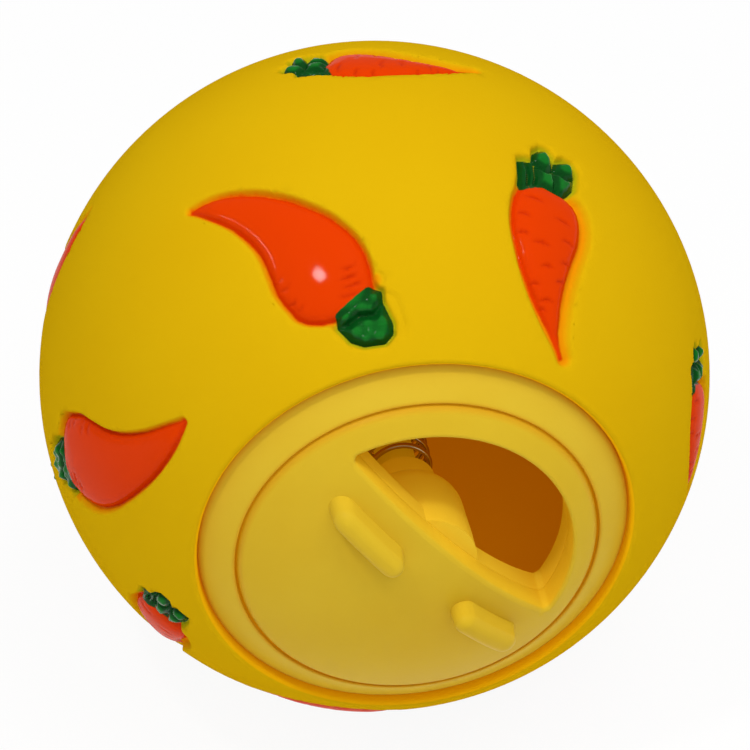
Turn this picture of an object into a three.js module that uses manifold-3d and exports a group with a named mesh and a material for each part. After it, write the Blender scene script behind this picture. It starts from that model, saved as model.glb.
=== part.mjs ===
// Treat dispensing ball: a hollow soft vinyl ball with moulded carrots and chilli peppers
// standing in sunk pockets, and a round mouth. A ring snapped into the mouth carries a
// domed disc with a D-shaped opening. The disc is pulled out against a spring and turned
// by its two grips until its opening and the one behind it leave the gap that is wanted.
//
// Millimetres, +Z up. The mouth looks along -Y, and the origin is the point on the floor
// that the ball stands on. Pieces are drawn in the mouth's own frame, with x to the right,
// y up and z out of the mouth, all from the ball's centre.

import * as THREE from 'three';
import { mergeVertices } from 'three/addons/utils/BufferGeometryUtils.js';
import Module from 'manifold-3d';

// Ball
const ballRadius = 35;
const shellWall = 2.8;
const rimDepth = 2.6;
const lipRound = 0.6;

// Fits
const runningGap = 0.3;
const seatGap = 0.3;

// Mouth ring and the plate behind the disc
const domeDrop = 1.35;
const ringWidth = 3.45;
const flangeEdge = 1.4;
const flangeOverhang = 1.65;
const barbReach = 1.3;
const barbLand = 0.5;
const barbHeight = 1.5;
const ringWall = 1.8;
const plateThickness = 2.3;
const edgeRound = 0.5;

// Boss in the middle of the plate, with a collar that the spring bears on
const bossRadius = 5.6;
const bossEndRadius = 5.4;
const bossDepth = 10.45;
const shoulderHeight = 1.55;
const shoulderRadius = 3.9;
const collarRadius = 3.45;
const collarHeight = 2.8;

// Turning disc
const discRadius = 18.1;
const discThickness = 2.5;
const discEdgeRound = 0.9;
const openingRadius = 15.6;
const openingChord = 4.0;
const openingCorner = 1.2;
const openingAngle = 41.6;
const gripInner = 4.2;
const gripLength = 9.3;
const gripWidth = 2.8;
const gripHeight = 2.8;
const gripDraft = 0.3;
const gripEndSlope = 1.3;
const gripBend = 0.7;
const gripSink = 0.6;

// Shaft, spring, washer and screw
const shaftRadius = 2.0;
const discTravel = 2.5;
const springTurns = 6;
const springCoilRadius = 3.3;
const springWireRadius = 0.3;
const springReserve = 2.9;
const washerRadius = 4.3;
const washerThickness = 0.8;
const screwShankRadius = 0.9;
const screwShankLength = 6;
const screwHeadRadius = 2.4;
const screwHeadHeight = 1.5;
const steelEdge = 0.2;

// Vegetables moulded on the ball
const pocketDepth = 1.6;
const pocketMargin = 0.45;
const pocketDraft = 0.25;
const tipRise = 0.45;
const tipShare = 0.6;
const reliefSink = 0.5;

// Facets
const roundSteps = 40;
const arcStep = 7.5;

const wasm = await Module();
wasm.setup();

const radians = THREE.MathUtils.degToRad;

// Solids

function solidFrom(geometry) {
  geometry.deleteAttribute('normal');
  geometry.deleteAttribute('uv');
  const merged = mergeVertices(geometry, 1e-4);
  const mesh = new wasm.Mesh({
    numProp: 3,
    vertProperties: Float32Array.from(merged.attributes.position.array),
    triVerts: Uint32Array.from(merged.index.array),
  });
  mesh.merge();
  return new wasm.Manifold(mesh);
}

function geometryFrom(solid) {
  const mesh = solid.getMesh();
  const geometry = new THREE.BufferGeometry();
  geometry.setAttribute('position', new THREE.BufferAttribute(mesh.vertProperties, 3));
  geometry.setIndex(new THREE.BufferAttribute(mesh.triVerts, 1));
  geometry.computeVertexNormals();
  return geometry;
}

// A profile of (radius, z) points turned about the mouth's axis
function turned(profile, steps = roundSteps) {
  const geometry = new THREE.LatheGeometry(profile, steps);
  geometry.rotateX(Math.PI / 2);
  return solidFrom(geometry);
}

// Points on an arc, in degrees, both ends included
function arc(x, y, radius, from, to, steps) {
  const points = [];
  for (let i = 0; i <= steps; i += 1) {
    const angle = radians(from + (to - from) * i / steps);
    points.push(new THREE.Vector2(x + radius * Math.cos(angle), y + radius * Math.sin(angle)));
  }
  return points;
}

// Height of a dome about the ball's centre at a distance from the mouth's axis
function domeHeight(domeRadius, distance) {
  return Math.sqrt(domeRadius * domeRadius - distance * distance);
}

// The run of a dome between two distances from the axis
function domeRun(domeRadius, fromDistance, toDistance) {
  const from = Math.acos(fromDistance / domeRadius) * 180 / Math.PI;
  const to = Math.acos(toDistance / domeRadius) * 180 / Math.PI;
  const steps = Math.max(1, Math.round(Math.abs(to - from) / arcStep));
  return arc(0, 0, domeRadius, from, to, steps);
}

// A skin over closed rings of points, with its two ends closed by flat fans
function lofted(rings) {
  const count = rings[0].length;
  const positions = [];
  const faces = [];
  for (const ring of rings) {
    for (const point of ring) positions.push(point.x, point.y, point.z);
  }
  for (let r = 0; r < rings.length - 1; r += 1) {
    for (let i = 0; i < count; i += 1) {
      const here = r * count + i;
      const next = r * count + (i + 1) % count;
      faces.push(here, next, here + count, next, next + count, here + count);
    }
  }
  const ends = [[rings[0], 0, true], [rings.at(-1), (rings.length - 1) * count, false]];
  for (const [ring, start, flip] of ends) {
    const middle = positions.length / 3;
    const centre = ring.reduce((sum, point) => sum.add(point), new THREE.Vector3()).divideScalar(count);
    positions.push(centre.x, centre.y, centre.z);
    for (let i = 0; i < count; i += 1) {
      const here = start + i;
      const next = start + (i + 1) % count;
      if (flip) faces.push(middle, next, here);
      else faces.push(middle, here, next);
    }
  }
  const geometry = new THREE.BufferGeometry();
  geometry.setAttribute('position', new THREE.Float32BufferAttribute(positions, 3));
  geometry.setIndex(faces);
  return solidFrom(geometry);
}

function named(name, solid, color, roughness, metalness = 0) {
  const material = new THREE.MeshStandardMaterial({ color, roughness, metalness });
  const mesh = new THREE.Mesh(geometryFrom(solid), material);
  mesh.name = name;
  return mesh;
}

// Sizes that the pieces share

const recessRadius = discRadius + runningGap;
const flangeRadius = recessRadius + ringWidth;
const ringDome = ballRadius - domeDrop;
const discUnderDome = ringDome - discThickness;
const plateDome = discUnderDome - runningGap;
const plateUnderDome = plateDome - plateThickness;
const flangeUnderside = domeHeight(ringDome, flangeRadius) - flangeEdge;
const neckRadius = flangeRadius - flangeOverhang;
const seatHeight = flangeUnderside - seatGap;
const rimInner = seatHeight - rimDepth;
const barbTop = rimInner - seatGap;
const bossEnd = plateDome - bossDepth;
const boreRadius = shaftRadius + runningGap;
const collarEnd = bossEnd - collarHeight;
const springOuterEnd = collarEnd - seatGap;
const springLength = discTravel + (springTurns + 1) * 2 * springWireRadius + springReserve;
const springInnerEnd = springOuterEnd - springLength;
const washerTop = springInnerEnd - seatGap;
const washerBottom = washerTop - washerThickness;
const shaftEnd = washerTop + seatGap;
const screwHeadTop = washerBottom - seatGap;

// Ball shell: one turned wall whose rim is thick enough to be gripped by the mouth ring

function shellBody() {
  const lipCentreRadius = flangeRadius + seatGap + lipRound;
  const lipCentreHeight = domeHeight(ballRadius - lipRound, lipCentreRadius);
  const lipAngle = Math.atan2(lipCentreHeight, lipCentreRadius) * 180 / Math.PI;
  const outerSteps = Math.round((90 + lipAngle) / arcStep);
  const outer = [];
  for (let angle = -90; angle < lipAngle - arcStep / 2; angle += arcStep) {
    outer.push(...arc(0, 0, ballRadius, angle, angle, 1).slice(0, 1));
  }
  const innerRadius = ballRadius - shellWall;
  const innerAngle = Math.asin(rimInner / innerRadius) * 180 / Math.PI;
  const innerSteps = Math.round(outerSteps / 2);
  const wall = turned([
    ...outer,
    ...arc(lipCentreRadius, lipCentreHeight, lipRound, lipAngle, 180, 3),
    new THREE.Vector2(flangeRadius + seatGap, seatHeight),
    new THREE.Vector2(neckRadius + seatGap, seatHeight),
    new THREE.Vector2(neckRadius + seatGap, 0),
    new THREE.Vector2(0, 0),
  ]);
  const hollow = turned([
    ...arc(0, 0, innerRadius, -90, innerAngle, innerSteps),
    new THREE.Vector2(0, rimInner),
  ], roundSteps * 0.7);
  return wall.subtract(hollow);
}

// Vegetables. Each is drawn flat, in millimetres, with its crown up and its tip down, along
// a spine that bends towards +x as it nears the tip. Distances along the spine start at
// the crown's edge: the body lies on their positive side and the leaves on the other.
// pocket rows: distance, half width. body rows: distance, half width, height.
// leaf rows: points of a stalk as x, y, half width, height.

const carrot = {
  length: 19.5,
  bend: 52,
  bendPower: 2.4,
  crownLean: -3,
  middle: { x: 1.2, y: -6 },
  pocket: [[-6.1, 1.9], [-4.6, 3.5], [-0.5, 3.8], [2.8, 4.4], [6.5, 4.35], [11, 3.3], [15.5, 1.95], [19.3, 0.4]],
  body: [[-0.1, 1.2, 0.5], [0.7, 3.2, 1.3], [2.8, 4.1, 1.7], [6.5, 4.1, 1.8], [11, 3.1, 1.6], [15.5, 1.75, 1.2], [19.2, 0.25, 0.6]],
  leaves: [
    [[-2.2, -0.6, 0.8, 1.0], [-2.5, 1.6, 1.0, 1.5], [-2.7, 3.6, 1.1, 1.2]],
    [[-0.2, -0.6, 0.9, 1.0], [-0.5, 3.2, 1.3, 1.6], [-1.1, 5.7, 0.8, 1.0]],
    [[2.0, -0.9, 0.7, 1.0], [2.3, 2.6, 1.3, 1.6], [2.3, 4.8, 0.7, 1.0]],
  ],
};

const pepper = {
  length: 22.5,
  bend: 88,
  bendPower: 1.3,
  crownLean: 24,
  middle: { x: 5, y: -6 },
  pocket: [[-5.2, 1.7], [-4.4, 2.5], [-1.6, 2.9], [0.8, 4.4], [4, 4.9], [8.5, 4.25], [13, 3.2], [17.8, 1.9], [22.3, 0.4]],
  body: [[-0.9, 1.6, 0.7], [0.2, 3.6, 1.5], [2.4, 4.5, 1.9], [5.5, 4.5, 1.9], [11, 3.4, 1.7], [17, 1.85, 1.3], [22.2, 0.25, 0.6]],
  leaves: [
    [[0.4, -0.7, 2.2, 1.7], [-0.1, 0.4, 2.6, 2.1], [-0.7, 1.9, 1.9, 1.8], [-1.8, 4.2, 2.0, 1.6], [-2.1, 5.0, 1.3, 1.1]],
  ],
};

// Where each vegetable lies: degrees from the mouth's axis, degrees round it from straight
// up towards +x, and how far it is turned from tip towards the mouth. bend overrides its own.
const motifs = [
  { kind: pepper, polar: 61.4, around: -25, turn: 177.6 },
  { kind: carrot, polar: 64, around: 29.7, turn: -0.6 },
  { kind: pepper, polar: 65.2, around: -74, turn: 20.5, bend: 65 },
  { kind: carrot, polar: 105.1, around: 3.5, turn: 89.6 },
  { kind: pepper, polar: 112.1, around: -73.3, turn: 32.5 },
  { kind: pepper, polar: 56.5, around: -130, turn: -131, bend: 35 },
  { kind: carrot, polar: 66.3, around: 86.9, turn: 85.8 },
  { kind: carrot, polar: 51.8, around: -164, turn: 86 },
  { kind: pepper, polar: 62.5, around: 139, turn: 178 },
  { kind: pepper, polar: 103, around: 56, turn: 205 },
  { kind: carrot, polar: 104, around: 106, turn: -30 },
  { kind: pepper, polar: 106, around: 152, turn: 12 },
  { kind: carrot, polar: 104, around: -151, turn: 172 },
  { kind: pepper, polar: 102, around: -117.5, turn: 181 },
  { kind: carrot, polar: 145, around: 35, turn: 84 },
  { kind: pepper, polar: 146, around: 155, turn: 70 },
  { kind: carrot, polar: 146, around: -85, turn: 88 },
];

// The spine's point and heading at a distance from the crown's edge
function spineAt(vegetable, distance) {
  if (distance <= 0) {
    const lean = radians(90 + vegetable.crownLean);
    return { x: -distance * Math.cos(lean), y: -distance * Math.sin(lean), heading: lean + Math.PI };
  }
  const steps = 40;
  const step = distance / steps;
  const point = { x: 0, y: 0, heading: 0 };
  for (let i = 0; i < steps; i += 1) {
    const share = (i + 0.5) * step / vegetable.length;
    point.heading = radians(-90 + vegetable.bend * share ** vegetable.bendPower);
    point.x += step * Math.cos(point.heading);
    point.y += step * Math.sin(point.heading);
  }
  return point;
}

// A flat point of a vegetable, laid on a sphere about the ball's centre without stretching
// it along the lines from the vegetable's middle
function laidPoint(motif, x, y, radius) {
  const { middle } = motif.kind;
  const turn = radians(motif.turn);
  const across = (x - middle.x) * Math.cos(turn) - (y - middle.y) * Math.sin(turn);
  const along = (x - middle.x) * Math.sin(turn) + (y - middle.y) * Math.cos(turn);
  const polar = radians(motif.polar);
  const around = radians(motif.around);
  const outward = new THREE.Vector3(
    Math.sin(polar) * Math.sin(around),
    Math.sin(polar) * Math.cos(around),
    Math.cos(polar),
  );
  const acrossWay = new THREE.Vector3(Math.cos(around), -Math.sin(around), 0);
  const alongWay = new THREE.Vector3().crossVectors(outward, acrossWay);
  const reach = Math.hypot(across, along);
  const angle = reach / ballRadius;
  return outward.multiplyScalar(Math.cos(angle))
    .addScaledVector(acrossWay, across / reach * Math.sin(angle))
    .addScaledVector(alongWay, along / reach * Math.sin(angle))
    .multiplyScalar(radius);
}

// The pocket is shallower where the vegetable thins out to its tip
function floorDepth(vegetable, distance) {
  const tipStart = vegetable.length * tipShare;
  return pocketDepth * (1 - tipRise * THREE.MathUtils.smoothstep(distance, tipStart, vegetable.length));
}

// A ring across the spine: section points are offset across it and height above the floor
function sectionRing(motif, vegetable, distance, section) {
  const spine = spineAt(vegetable, distance);
  const floor = ballRadius - floorDepth(vegetable, distance);
  return section.map(([offset, height]) => laidPoint(
    motif,
    spine.x - offset * Math.sin(spine.heading),
    spine.y + offset * Math.cos(spine.heading),
    floor + height,
  ));
}

function pocketSolid(motif, vegetable) {
  const clear = pocketDepth * 1.5;
  const last = vegetable.pocket.length - 1;
  const rings = vegetable.pocket.map(([distance, halfWidth], index) => {
    const reach = index === 0 ? -pocketMargin : index === last ? pocketMargin : 0;
    const low = halfWidth + pocketMargin;
    const high = low + pocketDraft * clear / pocketDepth;
    return sectionRing(motif, vegetable, distance + reach, [
      [-low, 0], [0, 0], [low, 0], [high, clear], [0, clear], [-high, clear],
    ]);
  });
  return lofted(rings);
}

function bodySolid(motif, vegetable) {
  const rings = vegetable.body.map(([distance, halfWidth, height]) => {
    const section = [[halfWidth, -reliefSink]];
    section.unshift([-halfWidth, -reliefSink]);
    for (const angle of [0, 40, 90, 140, 180]) {
      section.push([halfWidth * Math.cos(radians(angle)), height * Math.sin(radians(angle))]);
    }
    return sectionRing(motif, vegetable, distance, section);
  });
  return lofted(rings);
}

function leafSolid(motif, stalk) {
  const floor = ballRadius - pocketDepth;
  const rings = stalk.map(([x, y, halfWidth, height]) => {
    const section = [[-1, -reliefSink], [1, -reliefSink], [0.8, 0.7 * height], [0, height], [-0.8, 0.7 * height]];
    return section.map(([side, rise]) => laidPoint(motif, x - side * halfWidth, y, floor + rise)).reverse();
  });
  return lofted(rings.reverse());
}

function moulded(shell) {
  const pockets = [];
  const reliefs = [];
  for (const motif of motifs) {
    const vegetable = { ...motif.kind, bend: motif.bend ?? motif.kind.bend };
    pockets.push(pocketSolid(motif, vegetable));
    reliefs.push(bodySolid(motif, vegetable));
    for (const stalk of vegetable.leaves) reliefs.push(leafSolid(motif, stalk));
  }
  return shell.subtract(wasm.Manifold.union(pockets)).add(wasm.Manifold.union(reliefs));
}

// The D-shaped opening, as an outline with its straight side facing the mouth's axis

function openingOutline() {
  const cornerReach = openingRadius - openingCorner;
  const cornerX = openingChord + openingCorner;
  const cornerY = Math.sqrt(cornerReach * cornerReach - cornerX * cornerX);
  const cornerAngle = Math.atan2(cornerY, cornerX) * 180 / Math.PI;
  return [
    ...arc(0, 0, openingRadius, -cornerAngle, cornerAngle, 20),
    ...arc(cornerX, cornerY, openingCorner, cornerAngle, 180, 3).slice(1),
    ...arc(cornerX, -cornerY, openingCorner, 180, 360 - cornerAngle, 3).slice(0, -1),
  ];
}

function openingCutter() {
  const geometry = new THREE.ExtrudeGeometry(new THREE.Shape(openingOutline()), {
    depth: ballRadius * 2,
    bevelEnabled: false,
  });
  geometry.rotateZ(radians(openingAngle));
  return solidFrom(geometry);
}

// Mouth ring: flange, neck and barb that hold the shell's rim, with the plate and its boss

function mouthFrame() {
  const flangeTop = domeHeight(ringDome, flangeRadius - edgeRound);
  const recessTop = domeHeight(ringDome, recessRadius + edgeRound);
  const skirtInner = neckRadius - ringWall;
  const barbBottom = barbTop - barbHeight;
  const shoulderEnd = bossEnd + shoulderHeight;
  const profile = [
    ...domeRun(plateDome, boreRadius, recessRadius),
    new THREE.Vector2(recessRadius, recessTop - edgeRound),
    ...domeRun(ringDome, recessRadius + edgeRound, flangeRadius - edgeRound),
    new THREE.Vector2(flangeRadius, flangeTop - edgeRound),
    new THREE.Vector2(flangeRadius, flangeUnderside),
    new THREE.Vector2(neckRadius, flangeUnderside),
    new THREE.Vector2(neckRadius, barbTop),
    new THREE.Vector2(neckRadius + barbReach, barbTop),
    new THREE.Vector2(neckRadius + barbReach, barbTop - barbLand),
    new THREE.Vector2(neckRadius, barbBottom),
    new THREE.Vector2(skirtInner, barbBottom),
    ...domeRun(plateUnderDome, skirtInner, bossRadius),
    new THREE.Vector2(bossEndRadius, shoulderEnd),
    new THREE.Vector2((bossEndRadius * 2 + shoulderRadius) / 3, bossEnd + shoulderHeight / 3),
    new THREE.Vector2(shoulderRadius, bossEnd),
    new THREE.Vector2(collarRadius, bossEnd),
    new THREE.Vector2(collarRadius, collarEnd),
    new THREE.Vector2(boreRadius, collarEnd),
  ];
  profile.push(profile[0].clone());
  const keptBoss = turned([
    new THREE.Vector2(0, 0),
    new THREE.Vector2(bossRadius, 0),
    new THREE.Vector2(bossRadius, ballRadius),
    new THREE.Vector2(0, ballRadius),
  ]);
  return turned(profile.reverse()).subtract(openingCutter().subtract(keptBoss));
}

// Turning disc: a domed plate with the treat opening, two grips and the shaft

function discBody() {
  const edgeTop = domeHeight(ringDome, discRadius - discEdgeRound);
  const edgeBottom = domeHeight(discUnderDome, discRadius);
  const boreTop = shaftEnd + screwShankLength;
  return turned([
    new THREE.Vector2(0, boreTop),
    new THREE.Vector2(screwShankRadius + seatGap, boreTop),
    new THREE.Vector2(screwShankRadius + seatGap, shaftEnd),
    new THREE.Vector2(shaftRadius, shaftEnd),
    ...domeRun(discUnderDome, shaftRadius, discRadius),
    new THREE.Vector2(discRadius, Math.max(edgeTop - discEdgeRound * 1.4, edgeBottom + 0.2)),
    new THREE.Vector2(discRadius - discEdgeRound * 0.3, edgeTop - discEdgeRound * 0.4),
    ...domeRun(ringDome, discRadius - discEdgeRound, 0),
  ]);
}

// One grip: a drafted bar with sloping ends, its rings following the dome
function gripSolid(side) {
  const middle = side * (gripInner + gripLength / 2);
  const levels = [
    [-gripSink, 0, 0],
    [0, 0, 0],
    [gripHeight * gripBend, gripDraft, gripEndSlope * gripBend],
    [gripHeight, gripDraft * 3, gripEndSlope],
  ];
  const rings = levels.map(([height, narrowed, shortened]) => {
    const halfWidth = gripWidth / 2 - narrowed;
    const halfLength = gripLength / 2 - shortened - halfWidth;
    const outline = [
      ...arc(0, halfLength, halfWidth, 0, 180, 6),
      ...arc(0, -halfLength, halfWidth, 180, 360, 6),
    ];
    return outline.map((point) => {
      const along = middle + point.y;
      return new THREE.Vector3(point.x, along, domeHeight(ringDome, Math.hypot(point.x, along)) + height);
    });
  });
  return lofted(rings);
}

function selectorDisc() {
  const grips = gripSolid(1).add(gripSolid(-1)).rotate([0, 0, openingAngle]);
  return discBody().subtract(openingCutter()).add(grips);
}

// Spring: one unbroken wire round the shaft, from the boss's collar to the washer

function springWire() {
  const stepsPerTurn = 8;
  const sides = 5;
  const steps = springTurns * stepsPerTurn;
  const rise = springLength - 2 * springWireRadius;
  const rings = [];
  const centres = [];
  for (let i = 0; i <= steps; i += 1) {
    const angle = i / stepsPerTurn * 2 * Math.PI;
    const height = springInnerEnd + springWireRadius + rise * i / steps;
    const outward = new THREE.Vector3(Math.cos(angle), Math.sin(angle), 0);
    const centre = outward.clone().multiplyScalar(springCoilRadius).setZ(height);
    centres.push(centre);
    const ring = [];
    for (let k = 0; k < sides; k += 1) {
      const round = k / sides * 2 * Math.PI;
      ring.push(centre.clone()
        .addScaledVector(outward, springWireRadius * Math.cos(round))
        .add(new THREE.Vector3(0, 0, springWireRadius * Math.sin(round))));
    }
    rings.push(ring.reverse());
  }
  let leastGap = Infinity;
  for (let i = 0; i < centres.length; i += 1) {
    for (let j = i + stepsPerTurn / 2; j < centres.length; j += 1) {
      leastGap = Math.min(leastGap, centres[i].distanceTo(centres[j]) - 2 * springWireRadius);
    }
  }
  console.log(`spring: least gap between turns ${leastGap.toFixed(2)} mm`);
  return lofted(rings);
}

// Washer and screw that hold the spring on the shaft

function springWasher() {
  const hole = screwShankRadius + seatGap;
  const profile = [
    new THREE.Vector2(hole, washerBottom),
    new THREE.Vector2(washerRadius - steelEdge, washerBottom),
    new THREE.Vector2(washerRadius, washerBottom + steelEdge),
    new THREE.Vector2(washerRadius, washerTop - steelEdge),
    new THREE.Vector2(washerRadius - steelEdge, washerTop),
    new THREE.Vector2(hole, washerTop),
    new THREE.Vector2(hole, washerBottom),
  ];
  return turned(profile, roundSteps / 2);
}

function retainingScrew() {
  const headBottom = screwHeadTop - screwHeadHeight;
  const shankEnd = shaftEnd + screwShankLength - seatGap;
  return turned([
    new THREE.Vector2(0, headBottom),
    new THREE.Vector2(screwHeadRadius * 0.6, headBottom),
    new THREE.Vector2(screwHeadRadius * 0.9, headBottom + screwHeadHeight * 0.3),
    new THREE.Vector2(screwHeadRadius, screwHeadTop - steelEdge),
    new THREE.Vector2(screwHeadRadius, screwHeadTop),
    new THREE.Vector2(screwShankRadius, screwHeadTop),
    new THREE.Vector2(screwShankRadius, shankEnd - screwShankRadius),
    new THREE.Vector2(0, shankEnd),
  ], roundSteps / 2);
}

const ball = new THREE.Group();
ball.add(named('ball_shell', moulded(shellBody()), 0xdcaf10, 0.42));
ball.add(named('mouth_frame', mouthFrame(), 0xd9b634, 0.38));
ball.add(named('selector_disc', selectorDisc(), 0xdab932, 0.36));
ball.add(named('disc_spring', springWire(), 0x9c7a3c, 0.3, 0.9));
ball.add(named('spring_washer', springWasher(), 0xb8b8b4, 0.35, 0.9));
ball.add(named('retaining_screw', retainingScrew(), 0xa8a8a6, 0.35, 0.9));
ball.rotation.x = Math.PI / 2;
ball.position.z = ballRadius;

const group = new THREE.Group();
group.add(ball);
export default group;
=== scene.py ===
import math

import bmesh
import bpy
import numpy as np
from mathutils import Matrix, Vector


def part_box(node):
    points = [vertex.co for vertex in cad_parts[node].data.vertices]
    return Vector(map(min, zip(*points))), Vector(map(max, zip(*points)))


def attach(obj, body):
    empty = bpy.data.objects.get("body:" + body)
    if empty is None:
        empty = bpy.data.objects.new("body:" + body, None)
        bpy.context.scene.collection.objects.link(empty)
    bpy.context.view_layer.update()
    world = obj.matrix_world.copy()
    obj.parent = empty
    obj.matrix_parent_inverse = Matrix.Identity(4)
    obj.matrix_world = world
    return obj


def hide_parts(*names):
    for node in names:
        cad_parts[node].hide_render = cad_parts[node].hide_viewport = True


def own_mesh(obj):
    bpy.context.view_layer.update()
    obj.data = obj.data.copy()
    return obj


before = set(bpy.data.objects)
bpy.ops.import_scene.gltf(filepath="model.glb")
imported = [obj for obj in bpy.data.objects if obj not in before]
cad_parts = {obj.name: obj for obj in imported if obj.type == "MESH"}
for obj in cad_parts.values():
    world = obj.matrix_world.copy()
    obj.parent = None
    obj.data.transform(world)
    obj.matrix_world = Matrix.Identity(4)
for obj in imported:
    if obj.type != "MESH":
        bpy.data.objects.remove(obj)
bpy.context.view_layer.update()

# Camera. A long lens looks down on the ball from a little to the left of its mouth, so the
# ball fills the frame and the treat opening shows the boss and the spring behind it.

MM = 0.001
shell_low, shell_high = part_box("ball_shell")
BALL_RADIUS = (shell_high.x - shell_low.x) / 2 / MM
BALL_CENTRE = Vector((0, 0, BALL_RADIUS * MM))
CAMERA_AZIMUTH = math.radians(-8.92)
CAMERA_ELEVATION = math.radians(38.5)
CAMERA_DISTANCE = 0.455
CAMERA_LENS = 208.6
# The width of one pixel at the ball
PIXEL = 0.105 * MM

to_camera = Vector((
    math.sin(CAMERA_AZIMUTH) * math.cos(CAMERA_ELEVATION),
    -math.cos(CAMERA_AZIMUTH) * math.cos(CAMERA_ELEVATION),
    math.sin(CAMERA_ELEVATION),
))
camera_turn = to_camera.to_track_quat("Z", "Y")
camera = bpy.data.objects.new("camera", bpy.data.cameras.new("camera"))
camera.data.lens = CAMERA_LENS
camera.data.sensor_width = 36
camera.data.clip_start = 0.02
camera.rotation_mode = "QUATERNION"
camera.rotation_quaternion = camera_turn
aside = camera_turn @ Vector((0.5, 0.8, 0)) * PIXEL
camera.location = BALL_CENTRE + to_camera * CAMERA_DISTANCE + aside
bpy.context.scene.collection.objects.link(camera)
bpy.context.scene.camera = camera


# Materials. A Wire is a socket in a material's node tree: sums and products of wires add
# Math nodes, and any other node comes from Finish.add with its settings and its inputs.

class Wire:
    def __init__(self, finish, socket):
        self.finish = finish
        self.socket = socket

    def math(self, operation, *others):
        return self.finish.add("ShaderNodeMath", {"operation": operation}, self, *others)

    def __add__(self, other):
        return self.math("ADD", other)

    def __mul__(self, other):
        return self.math("MULTIPLY", other)

    def __sub__(self, other):
        return self.math("SUBTRACT", other)

    def __rsub__(self, other):
        return self.finish.add("ShaderNodeMath", {"operation": "SUBTRACT"}, other, self)

    __radd__ = __add__
    __rmul__ = __mul__

    def fade(self, full, none):
        """1 up to the value full and 0 from the value none, with a soft run between them."""
        settings = {"interpolation_type": "SMOOTHSTEP"}
        return self.finish.add("ShaderNodeMapRange", settings, self, full, none, 1.0, 0.0)


class Finish:
    def __init__(self, name, **constants):
        self.material = bpy.data.materials.new(name)
        self.material.use_nodes = True
        self.tree = self.material.node_tree
        self.shader = self.tree.nodes["Principled BSDF"]
        for socket, value in constants.items():
            self.shader.inputs[socket.replace("_", " ")].default_value = value

    def add(self, kind, settings, *inputs, output=0, **named):
        node = self.tree.nodes.new(kind)
        for setting, value in settings.items():
            setattr(node, setting, value)
        for index, value in [*enumerate(inputs), *named.items()]:
            socket = node.inputs[index.replace("_", " ") if isinstance(index, str) else index]
            if isinstance(value, Wire):
                self.tree.links.new(value.socket, socket)
            elif value is not None:
                socket.default_value = value
        return Wire(self, node.outputs[output])

    def attribute(self, name):
        return self.add("ShaderNodeAttribute", {"attribute_name": name}, output="Fac")

    def noise(self, scale, detail=2.0, rough=0.5):
        """Noise on the object's own coordinates. scale is in bumps per metre."""
        place = self.add("ShaderNodeTexCoord", {}, output="Object")
        return self.add(
            "ShaderNodeTexNoise", {}, Vector=place, Scale=scale, Detail=detail, Roughness=rough)

    def mix(self, first, second, factor):
        """first where factor is 0, second where it is 1; colours are (red, green, blue)."""
        colours = [c if isinstance(c, Wire) else (*c, 1.0) for c in (first, second)]
        settings = {"data_type": "RGBA", "clamp_factor": True}
        unused = [None] * 5
        return self.add("ShaderNodeMix", settings, factor, *unused, *colours, output=2)

    def feed(self, **sockets):
        for socket, wire in sockets.items():
            self.tree.links.new(wire.socket, self.shader.inputs[socket.replace("_", " ")])

    def bump(self, height, distance, strength=1.0):
        """height is from 0 to 1, and distance is the height of the bumps in metres."""
        self.feed(Normal=self.add(
            "ShaderNodeBump", {}, Strength=strength, Distance=distance, Height=height))


# Studio. A white floor that keeps the ball's soft shadow, an even white sky, two wide soft
# boxes, over the camera and beside it, and two small ones whose sparks show on the paint.

ground = bmesh.new()
bmesh.ops.create_grid(ground, x_segments=1, y_segments=1, size=3.0)
floor_mesh = bpy.data.meshes.new("floor")
ground.to_mesh(floor_mesh)
ground.free()
floor = bpy.data.objects.new("floor", floor_mesh)
bpy.context.scene.collection.objects.link(floor)

paper = Finish(
    "white_paper", Base_Color=(0.92, 0.92, 0.92, 1), Roughness=0.9, Specular_IOR_Level=0.1)
seen = [paper.add("ShaderNodeLightPath", {}, output=ray) for ray in (
    "Is Camera Ray", "Is Glossy Ray", "Is Transmission Ray")]
white = paper.add("ShaderNodeEmission", {}, (1, 1, 1, 1), 1.0)
shown = (seen[0] + seen[1] + seen[2]) * 0.93
lit_floor = Wire(paper, paper.shader.outputs[0])
blended = paper.add("ShaderNodeMixShader", {}, shown, lit_floor, white)
paper.tree.links.new(blended.socket, paper.tree.nodes["Material Output"].inputs["Surface"])
floor.data.materials.append(paper.material)

world = bpy.data.worlds.new("studio")
world.use_nodes = True
world.node_tree.nodes["Background"].inputs["Color"].default_value = (1, 1, 1, 1)
world.node_tree.nodes["Background"].inputs["Strength"].default_value = 0.40
bpy.context.scene.world = world

# name, direction in the camera's own axes (right, up, towards it), distance, width, power,
# and whether it shows as a spark in what is glossy
SOFT_BOXES = [
    ("key_box", (0.32, 0.62, 0.72), 0.55, 0.36, 1.45, False),
    ("front_box", (0.06, 0.10, 1.0), 0.90, 0.25, 1.00, False),
    ("spark_box", (-0.30, 0.53, 0.79), 0.60, 0.050, 0.85, True),
    ("flank_box", (-0.88, 0.30, 0.37), 0.60, 0.035, 0.16, True),
]
for name, direction, distance, width, power, sparkles in SOFT_BOXES:
    lamp = bpy.data.objects.new(name, bpy.data.lights.new(name, "AREA"))
    lamp.data.size = width
    lamp.data.energy = power
    lamp.visible_glossy = sparkles
    way = camera_turn @ Vector(direction).normalized()
    lamp.location = BALL_CENTRE + way * distance
    lamp.rotation_mode = "QUATERNION"
    lamp.rotation_quaternion = way.to_track_quat("Z", "Y")
    bpy.context.scene.collection.objects.link(lamp)
bpy.context.scene.view_settings.view_transform = "Standard"


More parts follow.
